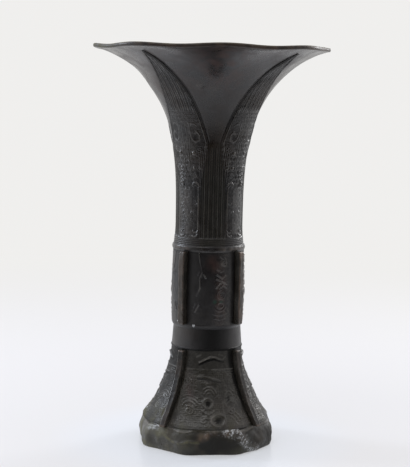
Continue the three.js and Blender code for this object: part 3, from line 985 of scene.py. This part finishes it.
def mask_ornament(s, z):
    """The mask panel on the foot: brow ridges, curls, nose, eyes and coils on a spiral ground."""
    strokes = (
        (BROW, 0.6, 1.0),
        ([(5.2, 59.0), (8.0, 58.4)], 0.45, 0.6),
        ([(-8.4, 57.4), (-5.6, 58.8)], 0.5, 0.4),
        ([(-18, MASK_TOP), (18, MASK_TOP)], 0.55, 0.6),
        ([(-7.6, 45.6), (-4.0, 45.6), (-1.2, 45.0), (2.9, 44.0), (5.8, 43.2)], 0.6, 0.9),
        (arc(-1.0, 34.4, 4.6, 15, 165, 1.1), 0.6, 0.9),
        (arc(-1.0, 34.6, 2.9, 15, 165, 1.1), 0.6, 1.0),
        (arc(-1.0, 34.6, 1.2, 0, 180, 1.0), 0.6, 1.0),
        ([(-6.2, 40.0), (-6.4, 34.6), (-4.4, 33.4)], 0.5, 0.6),
        ([(4.6, 40.0), (4.8, 34.6), (3.0, 33.4)], 0.5, 0.6),
        (arc(-1.8, 30.2, 3.0, 0, 360, 0.95, 20), 0.8, 1.0),
        (arc(-1.8, 28.6, 4.6, 215, 325, 0.95), 0.55, 0.8),
        (arc(-1.8, 27.4, 6.0, 220, 320, 0.95), 0.5, 0.6),
        (arc(11.6, 32.0, 3.0, 0, 360, 1.5, 24), 0.6, 0.7),
        (arc(11.8, 32.0, 4.8, 300, 420, 1.2), 0.6, 0.7),
        ([(7.6, 30.4), (7.8, 26.0), (8.6, 22.4)], 0.6, 0.7),
        (arc(4.3, 20.8, 4.4, 0, 360, MASK_RING_SQUASH, 26), 1.2, 0.9),
        ([(12.6, 22.8), (15.0, 20.8), (16.6, 18.4)], 0.5, 0.9),
        ([(14.2, 23.8), (16.6, 21.8), (18.2, 19.4)], 0.5, 0.9),
        ([(15.8, 24.8), (18.2, 22.8), (19.6, 20.8)], 0.5, 0.8),
        (coil(-4.8, 20.8, 2.4, 1.5, 45), 0.55, 0.6),
        (coil(-19.4, 21.4, 3.0, 1.6, 60), 0.6, 0.6),
    )
    mirrored = (
        (coil(13.6, 25.9, 3.0, 1.6, 60), 0.65, 0.9),
        (arc(13.6, 25.9, 5.0, 25, 150), 0.55, 0.65),
        (arc(13.6, 25.9, 6.8, 35, 140), 0.55, 0.65),
        (arc(13.6, 25.9, 8.6, 45, 130), 0.55, 0.6),
        (coil(9.2, 38.6, 1.8, 1.5, 240), 0.5, 0.6),
        (coil(13.2, 42.6, 1.9, 1.5, 0, -1), 0.5, 0.6),
        (coil(10.2, 46.4, 1.5, 1.4, 90), 0.45, 0.5),
        ([(20.4, 31.0), (21.6, 27.0), (20.6, 23.4)], 0.5, 0.5),
    )
    pitch = mm("spiral_pitch")
    field = smoothstep(z, 16.5, 17.5) * (1 - smoothstep(z, MASK_TOP - 1.2, MASK_TOP - 0.4))
    height = 0.30 * thunder(s, z, 1.2 * pitch, 0.4 * pitch) * field
    height = raise_lines(height, s, z, strokes, 1.2)
    height = raise_lines(height, np.abs(s), z, mirrored, 1.2)
    curls = [(coil(-5.4 + 1.8 * i, 41.6, 0.75, 1.2, 200), 0.45, 0.7) for i in range(6)]
    height = raise_lines(height, s, z, curls, 1.0)
    height = np.maximum(height, 1.2 * dome(s, z, 14.0, 31.4, 1.7))
    height = np.maximum(height, 0.6 * dome(s, z, -13.4, 31.6, 1.5))
    hollow = 0.9 * spot(s, z, MASK_NOSE, 2.2) + 0.6 * spot(s, z, MASK_EYE, 1.9, up=0.6)
    hollow = hollow + 0.55 * spot(s, z, MASK_RING, 3.6, up=1 / MASK_RING_SQUASH)
    # Grooves under the brow and the lid; the panel's tone paints them dark too, as shade under the ridges
    under_brow = stroke(s, z, [(-6.6, 52.6), (-2.4, 55.0), (2.4, 56.0), (8.6, 54.2)], 1.0)
    under_lid = stroke(s, z, [(-7.4, 44.2), (-1.0, 43.6), (6.4, 41.9)], 1.0)
    return height - hollow - 0.4 * np.maximum(under_brow, under_lid)


def foot_outline():
    """Stations round the foot's section: radius, height and which face it is on."""
    ledge = KNOP_LOW - COLLAR_HEIGHT
    ledge_low = ledge - LEDGE_HEIGHT
    rim = mm("foot_radius")
    well = mm("well_radius")
    rows = [(well, FOOT_TOP, HIDDEN), (well, ledge, HIDDEN)]
    rows.append((COLLAR_FOOT_RADIUS - FOOT_WALL, ledge_low, HIDDEN))
    rows += [(foot_radius(z) - FOOT_WALL, z, HIDDEN) for z in np.linspace(ledge_low - 3, SKIRT_HEIGHT, 12)]
    rows.append((rim + SKIRT_SWELL - FOOT_WALL, SKIRT_HEIGHT / 2, HIDDEN))
    rows.append((rim - SKIRT_TUCK - FOOT_WALL, 0, HIDDEN))
    rows.append((rim - SKIRT_TUCK - 0.3, 0, HIDDEN))
    for z in np.linspace(0.25, SKIRT_HEIGHT, 34):
        swell = math.sin(math.pi * min(max(z / SKIRT_HEIGHT, 0), 1))
        tuck = SKIRT_TUCK * (1 - min(z / 3, 1)) ** 2
        rows.append((rim + SKIRT_SWELL * swell - tuck, z, SKIRT))
    flare = Line(foot_radius, np.linspace(SKIRT_HEIGHT, ledge_low, 400))
    r, z, _, _ = flare.at(np.linspace(0.4, flare.length, 128))
    rows += [(radius, height, FLARE) for radius, height in zip(r, z)]
    half_ledge = LEDGE_HEIGHT / 2
    for z in np.linspace(ledge_low + 0.15, ledge - 0.15, 5):
        bulge = LEDGE_BULGE * math.sqrt(max(1 - ((z - ledge_low - half_ledge) / half_ledge) ** 2, 0))
        rows.append((COLLAR_FOOT_RADIUS + bulge, z, COLLAR))
    for z in np.linspace(ledge, KNOP_LOW, 14):
        share = (z - ledge) / COLLAR_HEIGHT
        rows.append((mix(COLLAR_FOOT_RADIUS, COLLAR_TOP_RADIUS, share), z, COLLAR))
    rows += [(SPIGOT_RADIUS, KNOP_LOW, HIDDEN), (SPIGOT_RADIUS, FOOT_TOP, HIDDEN)]
    return np.array(rows)


# Marks on the skirt, from the front's middle to the right and up: the pale crust that runs down to the
# right corner, a scrape at the left and a brown stain under the border
CRUST_LINE = [(9, 15.4), (15.5, 13.6), (20, 9.0), (25, 4.5), (30, 0.5)]
SCRAPE_LINE = [(-31, 10), (-25.5, 7.2), (-19.6, 7.0), (-14, 8.8), (-8, 8.2)]
STAIN_LINE = [(-3, 12.5), (3, 13.6), (9, 13.4)]

# Where round the foot lie a dent in the flare, the skirt's most worn side, the corner of it that stands
# out and the moss
DENT_ANGLE = math.radians(157.5)
WORN_BACK_ANGLE = math.radians(175)
CORNER_ANGLE = -0.75
MOSS_ANGLE = math.radians(160)


def skirt_wear(angle, z):
    """How far the skirt stands back from its true outline, in millimetres."""
    worn_back = mix(0.8, 2.0, bump(turned_from(angle, WORN_BACK_ANGLE), 1.0)) * smoothstep(z, 10.5, 16) ** 2
    corner = bump(turned_from(angle, CORNER_ANGLE), 0.35) * (1 - smoothstep(z, 4, 13))
    flat = 0.9 * bump(turned_from(angle, math.pi), 0.8) * smoothstep(z, 2, 8)
    return worn_back + flat - 1.8 * corner


def make_foot():
    rows = foot_outline()
    around = bpy.context.scene.vase_stage.around
    mesh, station, angle = turn_outline("foot_casting", rows[:, :2].tolist(), around)
    radius, z, kind = rows[station].T
    flare, skirt, collar = kind == FLARE, kind == SKIRT, kind == COLLAR
    outside = flare | skirt
    panel, s = panel_place(angle, radius)
    front = panel < 0.5
    s_right = s * np.where(panel % 2 < 0.5, 1, -1)
    ahead = turned_from(angle, -QUARTER) * radius
    to_edge = np.maximum(radius, COLLAR_FOOT_RADIUS) * EIGHTH - np.abs(s)
    even = round_places(radius, angle, z)
    lumps = clouds(even, 6, 22)
    grain = clouds(even, 1.4, 23)

    # Mask panels, a border round the skirt's top, crust, scrapes, lumps and dents
    left_on = 0.75 + 0.5 * clouds(even, 7, 21) + 0.2 * clouds(even, 2.6, 27)
    mask = mask_ornament(s_right, z) * flare * smoothstep(to_edge, 2.0, 3.2) * left_on
    crust = stroke(ahead, z, CRUST_LINE, 5.0) * skirt
    scrape = stroke(ahead, z, SCRAPE_LINE, 1.5) * skirt
    stain = stroke(ahead, z, STAIN_LINE, 3.2) * skirt
    border = bump(z - SKIRT_HEIGHT + 0.9 + 0.7 * clouds(even * [1, 1, 0], 9, 25), 1.1) * skirt
    dent = bump(turned_from(angle, DENT_ANGLE), 0.5) * bump(z - 28, 12)
    uneven = 0.12 * lumps + 0.07 * grain - 2.0 * dent * flare
    rough_cast = (0.35 * lumps + 0.12 * clouds(even, 2.6, 24)) * smoothstep(z, 0.2, 5)
    height = mask * mm("mask_relief") + outside * uneven + skirt * (rough_cast - skirt_wear(angle, z))
    height = height + 0.35 * border + crust * (0.25 + 0.45 * np.abs(grain) + 0.2 * lumps) + 0.4 * scrape
    reach = (radius + height) * octagon_stretch(angle, z)
    write_places(mesh, reach * np.cos(angle), reach * np.sin(angle), z)

    # Painted shade beside one side of each bar, on the side and back panels, over the collar and most in its
    # middle, on the ledge, and over the right of the skirt
    shaded = mix(2.6, 5.0, smoothstep(z, 24, 58))
    margin = 1 - smoothstep((to_edge - mm("bar_width") / 2) / shaded, 0.35, 1)
    # The mask's tone is strongest on the front panel, and the side and back panels are painted darker
    panels = mask * mix(0.75, 1.3, front) - 0.3 - 0.4 * margin * (s > 0) - 0.15 * (1 - front)
    dim = 0.34 * smoothstep(ahead, -33, -6)
    band = 1.2 * border + 0.04 * lumps - 0.05 - dim * (1 - crust)
    shade_line = 0.3 * (z < KNOP_LOW - COLLAR_HEIGHT)
    gloom = 0.12 + 0.45 * bump(ahead - 1, 15) + 0.1 * smoothstep(ahead, 6, 12) + shade_line
    relief = flare * panels + skirt * band - collar * gloom

    to_left = smoothstep(np.cos(angle - MOSS_ANGLE), -0.15, 0.9)
    low = 1 - smoothstep(z, 16, 34)
    moss = (0.2 + 0.8 * to_left) * low * (0.55 + 0.45 * np.clip(1.6 * lumps, -1, 1))
    flakes = np.clip(0.4 + 1.0 * lumps + 1.1 * clouds(even, 0.9, 28), 0, 1)
    rust = 0.8 * bump(ahead + 5.5, 6) * bump(z - 8.5, 9) + 0.6 * stain
    plum = bump(ahead + 13, 5) * bump(z - 38, 16) + 0.8 * bump(ahead - 34, 9) * low
    # Dust on the foot; beside the bars on their other side it is laid thicker, painted light that lifts the
    # shade there
    dusty = 0.55 - 0.25 * skirt + 0.4 * clouds(even, 7, 26) + 0.4 * margin * (s < 0)
    write_layers(
        mesh,
        relief=np.clip(relief, -1, 1),
        dusty=outside * dusty,
        olive=(kind > HIDDEN) * np.maximum(moss, scrape),
        chalk=np.maximum(1.35 * crust, 0.3 * stain) * flakes,
        worn=rust * skirt * np.clip(0.7 + lumps, 0, 1),
        earth=0.9 * flare + 1.0 * skirt,
        plum=(kind > HIDDEN) * plum,
    )
    add_piece(mesh, patina("foot_patina", brown=1.0, gloss=0.29), "earthy_bronze", "foot")


# Flange bars

# Cuts along a bar, how far it goes into the wall, and how far its edge stands out from the casting
BAR_CUTS = 90
BAR_SINK = 0.35
KNOP_BAR_REACH = 4.2
FOOT_BAR_REACH = (3.6, 4.2)


def cut_across(bm, places, axis):
    """Cuts a whole shape by planes across an axis, at places along it."""
    for place in places:
        geometry = bm.verts[:] + bm.edges[:] + bm.faces[:]
        bmesh.ops.bisect_plane(bm, geom=geometry, dist=1e-6, plane_co=place * axis, plane_no=axis)


def bar_blank(name):
    """A bevelled bar two units wide and one deep, cut across many times along its height of one."""
    bm = bmesh.new()
    bmesh.ops.create_cube(bm, size=1)
    bmesh.ops.scale(bm, verts=bm.verts, vec=(1, 2, 1))
    bmesh.ops.translate(bm, verts=bm.verts, vec=(0.5, 0, 0.5))
    outer = [e for e in bm.edges if all(v.co.x > 0.5 for v in e.verts)]
    bmesh.ops.bevel(
        bm, geom=outer, offset=0.16, offset_type="OFFSET", affect="EDGES",
        segments=3, profile=0.5, material=-1,
    )
    cut_across(bm, [i / BAR_CUTS for i in range(1, BAR_CUTS)], Vector((0, 0, 1)))
    cut_across(bm, (-0.6, -0.2, 0.2, 0.6), Vector((0, 1, 0)))
    cut_across(bm, (0.25, 0.5, 0.75), Vector((1, 0, 0)))
    return to_mesh(bm, name)


def knop_bar_edge(z):
    return np.full(np.shape(z), mm("knop_radius") + KNOP_BULGE + KNOP_BAR_REACH)


def foot_bar_edge(z):
    share = (z - FOOT_BAR[0]) / (FOOT_BAR[1] - FOOT_BAR[0])
    return foot_radius(z) + mix(*FOOT_BAR_REACH, share)


def make_bar(casting, i, span, wall, edge, material, seed, copper, dull):
    """A flange bar from inside the wall to its outer edge, a little uneven from filing and wear."""
    mesh = bar_blank(casting + "_bar_" + CORNERS[i])
    middle = (i + 0.5) * QUARTER
    wide = mm("bar_width")
    x, y, share = read_places(mesh).T
    z = mix(span[0], span[1], share)
    radius = mix(wall(z) - BAR_SINK, edge(z), x)
    side = y * wide / 2
    places = np.stack([x * 4 + 40 * seed, side, z], axis=1)
    wander = clouds(places, 5, seed) * 0.22 + clouds(places, 1.8, seed + 3) * 0.09
    radius = radius - np.abs(wander) * x * 1.2
    side = side * (1 + 0.08 * clouds(places, 7, seed + 6)) + 0.12 * clouds(places * [1, 0, 1], 11, seed + 8)
    across, along = np.cos(middle), np.sin(middle)
    write_places(mesh, radius * across - side * along, radius * along + side * across, z)

    # Side faces: painted shade in the tone, and dust that lightens them again. dull paints the outer face
    # darker and less reflective, as painted shade. The ends are painted bright copper.
    rim = smoothstep(x, 0.8, 0.97)
    ends = np.maximum(bump(share, 0.03), bump(share - 1, 0.03)) * smoothstep(x, 0.5, 0.9)
    corners = smoothstep(np.abs(side), 0.3 * wide, 0.45 * wide) * rim
    rubbed = rim * copper * (0.7 + 0.6 * clouds(places, 6, seed + 9)) + 0.6 * copper * corners + 0.7 * ends
    write_layers(
        mesh,
        worn=np.clip(rubbed, 0, 1),
        relief=-0.2 * (1 - rim) - dull * (1 - corners) * rim,
        earth=np.full(len(z), 0.6),
        dusty=0.8 * (1 - rim) + dull * rim,
    )
    return add_piece(mesh, material, "worn_bronze", casting + "_flange_" + CORNERS[i])


def make_bars():
    material = patina("bar_patina", brown=0.3)
    for i, corner in enumerate(CORNERS):
        # dull is painted shade on the faces of the left knop bars and of all the foot bars
        copper, dull = (0.85, 0.0) if corner.startswith("right") else (0.25, 0.12)
        make_bar("knop", i, KNOP_BAR, knop_radius, knop_bar_edge, material, i + 1, copper, dull)
        make_bar("foot", i, FOOT_BAR, foot_radius, foot_bar_edge, material, i + 11, 0.12, 0.45)


# Stage

# The camera's place and lens, fitted to the curves of the rim, the bead ring and the foot
FOCAL_PIXELS = 1321
PICTURE_HEIGHT = 467
CAMERA_DISTANCE = 0.830
CAMERA_HEIGHT = 0.2265
CAMERA_PITCH = 0.113
CAMERA_ROLL = math.radians(1.15)
CAMERA_YAW = 3.8 / FOCAL_PIXELS
PANEL_TURN = math.radians(6.3)
SENSOR = 36
LENS = FOCAL_PIXELS / PICTURE_HEIGHT * SENSOR

# The gap under the foot, the floor's dark end towards the camera, the room's light and the side lamps
FLOOR_GAP = 0.0002
DARK_FRONT = (0.02, 0.02, 0.02, 1)
ROOM_COLOUR = (0.97, 0.96, 0.99, 1)
SIDE_LAMP_SIZE = (0.25, 0.5)
SIDE_LAMP_AIM = (0, 0, 0.12)
LEFT_LAMP_SHARE = 1.25
LEFT_LAMP_TINT = (0.82, 0.89, 1.0)


def make_camera():
    """A camera at the photograph's place: the front panel is turned a little to the right."""
    camera = bpy.data.cameras.new("camera")
    camera.sensor_width = SENSOR
    camera.lens = LENS
    camera.clip_start = 0.01
    holder = bpy.data.objects.new("camera", camera)
    bpy.context.scene.collection.objects.link(holder)
    stand = Matrix.Rotation(-PANEL_TURN, 4, "Z")
    place = Matrix.Translation((0, -CAMERA_DISTANCE, CAMERA_HEIGHT))
    aim = Matrix.Rotation(CAMERA_YAW, 4, "Z") @ Matrix.Rotation(math.pi / 2 - CAMERA_PITCH, 4, "X")
    holder.matrix_world = stand @ place @ aim @ Matrix.Rotation(CAMERA_ROLL, 4, "Z")
    bpy.context.scene.camera = holder


def make_floor(look):
    bm = bmesh.new()
    bmesh.ops.create_grid(bm, x_segments=8, y_segments=8, size=look.floor_size)
    mesh = to_mesh(bm, "floor")
    floor = bpy.data.objects.new("floor", mesh)
    bpy.context.scene.collection.objects.link(floor)
    floor.location = (0, 0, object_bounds()[0][2] - FLOOR_GAP)
    material, graph = new_material("floor_gloss")
    place = graph.node("ShaderNodeTexCoord").outputs["Object"]
    away = graph.node("ShaderNodeVectorMath", {0: place}, operation="LENGTH").outputs["Value"]
    front = graph.node("ShaderNodeSeparateXYZ", {0: place}).outputs["Y"]
    seen = graph.node("ShaderNodeLightPath").outputs["Is Camera Ray"]
    pale = graph.maths("MAXIMUM", graph.span(front, -0.50, -0.10), seen)
    # Round the foot the table takes a cooler tint, painted in for the shadow and reflection there
    table = graph.blend(graph.span(away, 0.055, 0.11), (*look.foot_shadow_tint, 1), (*look.floor, 1))
    shader = graph.node("ShaderNodeBsdfPrincipled", {
        "Base Color": graph.blend(pale, DARK_FRONT, table), "Roughness": 0.22, "Specular IOR Level": 0.35,
    })
    # The floor glows in the backdrop's colour, wholly far off and 0.4 of it near the vase: painted light that
    # lifts the vase's shadow
    backdrop_glow = graph.node("ShaderNodeEmission", {"Color": (*look.backdrop, 1), "Strength": pale})
    share = graph.span(away, 0.2, 0.9, 0.4, 1.0)
    surface = graph.node("ShaderNodeMixShader", {0: share, 1: shader.outputs[0], 2: backdrop_glow.outputs[0]})
    graph.node("ShaderNodeOutputMaterial", {"Surface": surface.outputs[0]})
    mesh.materials.append(material)
    floor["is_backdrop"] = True


def make_world(look):
    """A pale room behind and beside the vase, and a dim one on the camera's side."""
    world = bpy.data.worlds.new("studio")
    world.use_nodes = True
    bpy.context.scene.world = world
    graph = Graph(world)
    direction = graph.node("ShaderNodeTexCoord").outputs["Generated"]
    parts = graph.node("ShaderNodeSeparateXYZ", {0: direction}).outputs
    lifted = graph.maths("MULTIPLY", graph.maths("MAXIMUM", parts["Z"], 0.0), 0.6)
    bright = graph.span(graph.maths("ADD", parts["Y"], lifted), -0.90, -0.05, 0.008, 0.88)
    rays = graph.node("ShaderNodeLightPath").outputs
    backdrop = graph.node("ShaderNodeBackground", {"Color": (*look.backdrop, 1), "Strength": 1.0})
    room = graph.node("ShaderNodeBackground", {"Color": ROOM_COLOUR, "Strength": bright})
    surface = graph.node("ShaderNodeMixShader", {
        0: rays["Is Camera Ray"], 1: room.outputs[0], 2: backdrop.outputs[0],
    })
    graph.node("ShaderNodeOutputWorld", {"Surface": surface.outputs[0]})


def add_lamp(name, place, aim, size, power, tint=(1, 1, 1)):
    lamp = bpy.data.lights.new(name, "AREA")
    lamp.shape = "RECTANGLE"
    lamp.size, lamp.size_y = size
    lamp.energy = power
    lamp.color = tint
    holder = bpy.data.objects.new(name, lamp)
    bpy.context.scene.collection.objects.link(holder)
    holder.location = place
    holder.rotation_euler = (Vector(aim) - Vector(place)).to_track_quat("-Z", "Y").to_euler()


def make_stage():
    look = bpy.context.scene.vase_stage
    make_camera()
    make_floor(look)
    make_world(look)
    left_power = look.lamp_side * LEFT_LAMP_SHARE
    add_lamp("lamp_left", (-0.86, 0.36, 0.50), SIDE_LAMP_AIM, SIDE_LAMP_SIZE, left_power, LEFT_LAMP_TINT)
    add_lamp("lamp_right", (0.78, 0.52, 0.50), SIDE_LAMP_AIM, SIDE_LAMP_SIZE, look.lamp_side)
    add_lamp("lamp_top", (-0.3, -0.55, 1.2), (0, -0.1, 0), (0.9, 0.6), look.lamp_top)
    bpy.context.scene.view_settings.view_transform = "Standard"


# Operators and panel


class VASE_OT_stage(bpy.types.Operator):
    """Set up the camera, floor, room and lamps"""

    bl_idname = "vase.stage"
    bl_label = "Stage"

    def execute(self, context):
        make_stage()
        return {"FINISHED"}


class VASE_OT_neck(bpy.types.Operator):
    """Cast the neck and its lobed mouth"""

    bl_idname = "vase.neck"
    bl_label = "Neck and mouth"

    def execute(self, context):
        make_neck()
        return {"FINISHED"}


class VASE_OT_leaves(bpy.types.Operator):
    """Raise the four leaf blades and their panels"""

    bl_idname = "vase.leaves"
    bl_label = "Leaf blades"

    def execute(self, context):
        make_leaves()
        return {"FINISHED"}


class VASE_OT_knop(bpy.types.Operator):
    """Cast the knop with its dragon panels"""

    bl_idname = "vase.knop"
    bl_label = "Knop"

    def execute(self, context):
        make_knop()
        return {"FINISHED"}


class VASE_OT_foot(bpy.types.Operator):
    """Cast the foot with its mask panels"""

    bl_idname = "vase.foot"
    bl_label = "Foot"

    def execute(self, context):
        make_foot()
        return {"FINISHED"}


class VASE_OT_bars(bpy.types.Operator):
    """File and fit the eight flange bars"""

    bl_idname = "vase.bars"
    bl_label = "Flange bars"

    def execute(self, context):
        make_bars()
        return {"FINISHED"}


class VASE_OT_well(bpy.types.Operator):
    """Finish the well's floor and the solder inside it"""

    bl_idname = "vase.well"
    bl_label = "Well floor and solder"

    def execute(self, context):
        finishes = {
            "well_floor": patina("well_patina", gloss=0.5),
            "neck_joint_solder": solder_finish(),
            "well_floor_solder": solder_finish(),
        }
        for node, material in finishes.items():
            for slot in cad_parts[node].material_slots:
                slot.material = material
        return {"FINISHED"}


OPERATORS = (
    VASE_OT_stage, VASE_OT_neck, VASE_OT_leaves, VASE_OT_knop, VASE_OT_foot, VASE_OT_bars, VASE_OT_well,
)


class VASE_PT_panel(bpy.types.Panel):
    """Steps of making the vase, in order"""

    bl_idname = "VASE_PT_panel"
    bl_label = "Bronze vase"
    bl_space_type = "VIEW_3D"
    bl_region_type = "UI"
    bl_category = "Vase"

    def draw(self, context):
        for operator in OPERATORS:
            self.layout.operator(operator.bl_idname)


CLASSES = (VaseSizes, VaseFinish, StageLook, *OPERATORS, VASE_PT_panel)


def register():
    for item in CLASSES:
        bpy.utils.register_class(item)
    bpy.types.Scene.vase_sizes = PointerProperty(type=VaseSizes)
    bpy.types.Scene.vase_finish = PointerProperty(type=VaseFinish)
    bpy.types.Scene.vase_stage = PointerProperty(type=StageLook)


def unregister():
    del bpy.types.Scene.vase_stage
    del bpy.types.Scene.vase_finish
    del bpy.types.Scene.vase_sizes
    for item in reversed(CLASSES):
        bpy.utils.unregister_class(item)


def main():
    register()
    bpy.ops.vase.stage()
    bpy.ops.vase.neck()
    bpy.ops.vase.leaves()
    bpy.ops.vase.knop()
    bpy.ops.vase.foot()
    bpy.ops.vase.bars()
    bpy.ops.vase.well()


if __name__ == "__main__":
    main()
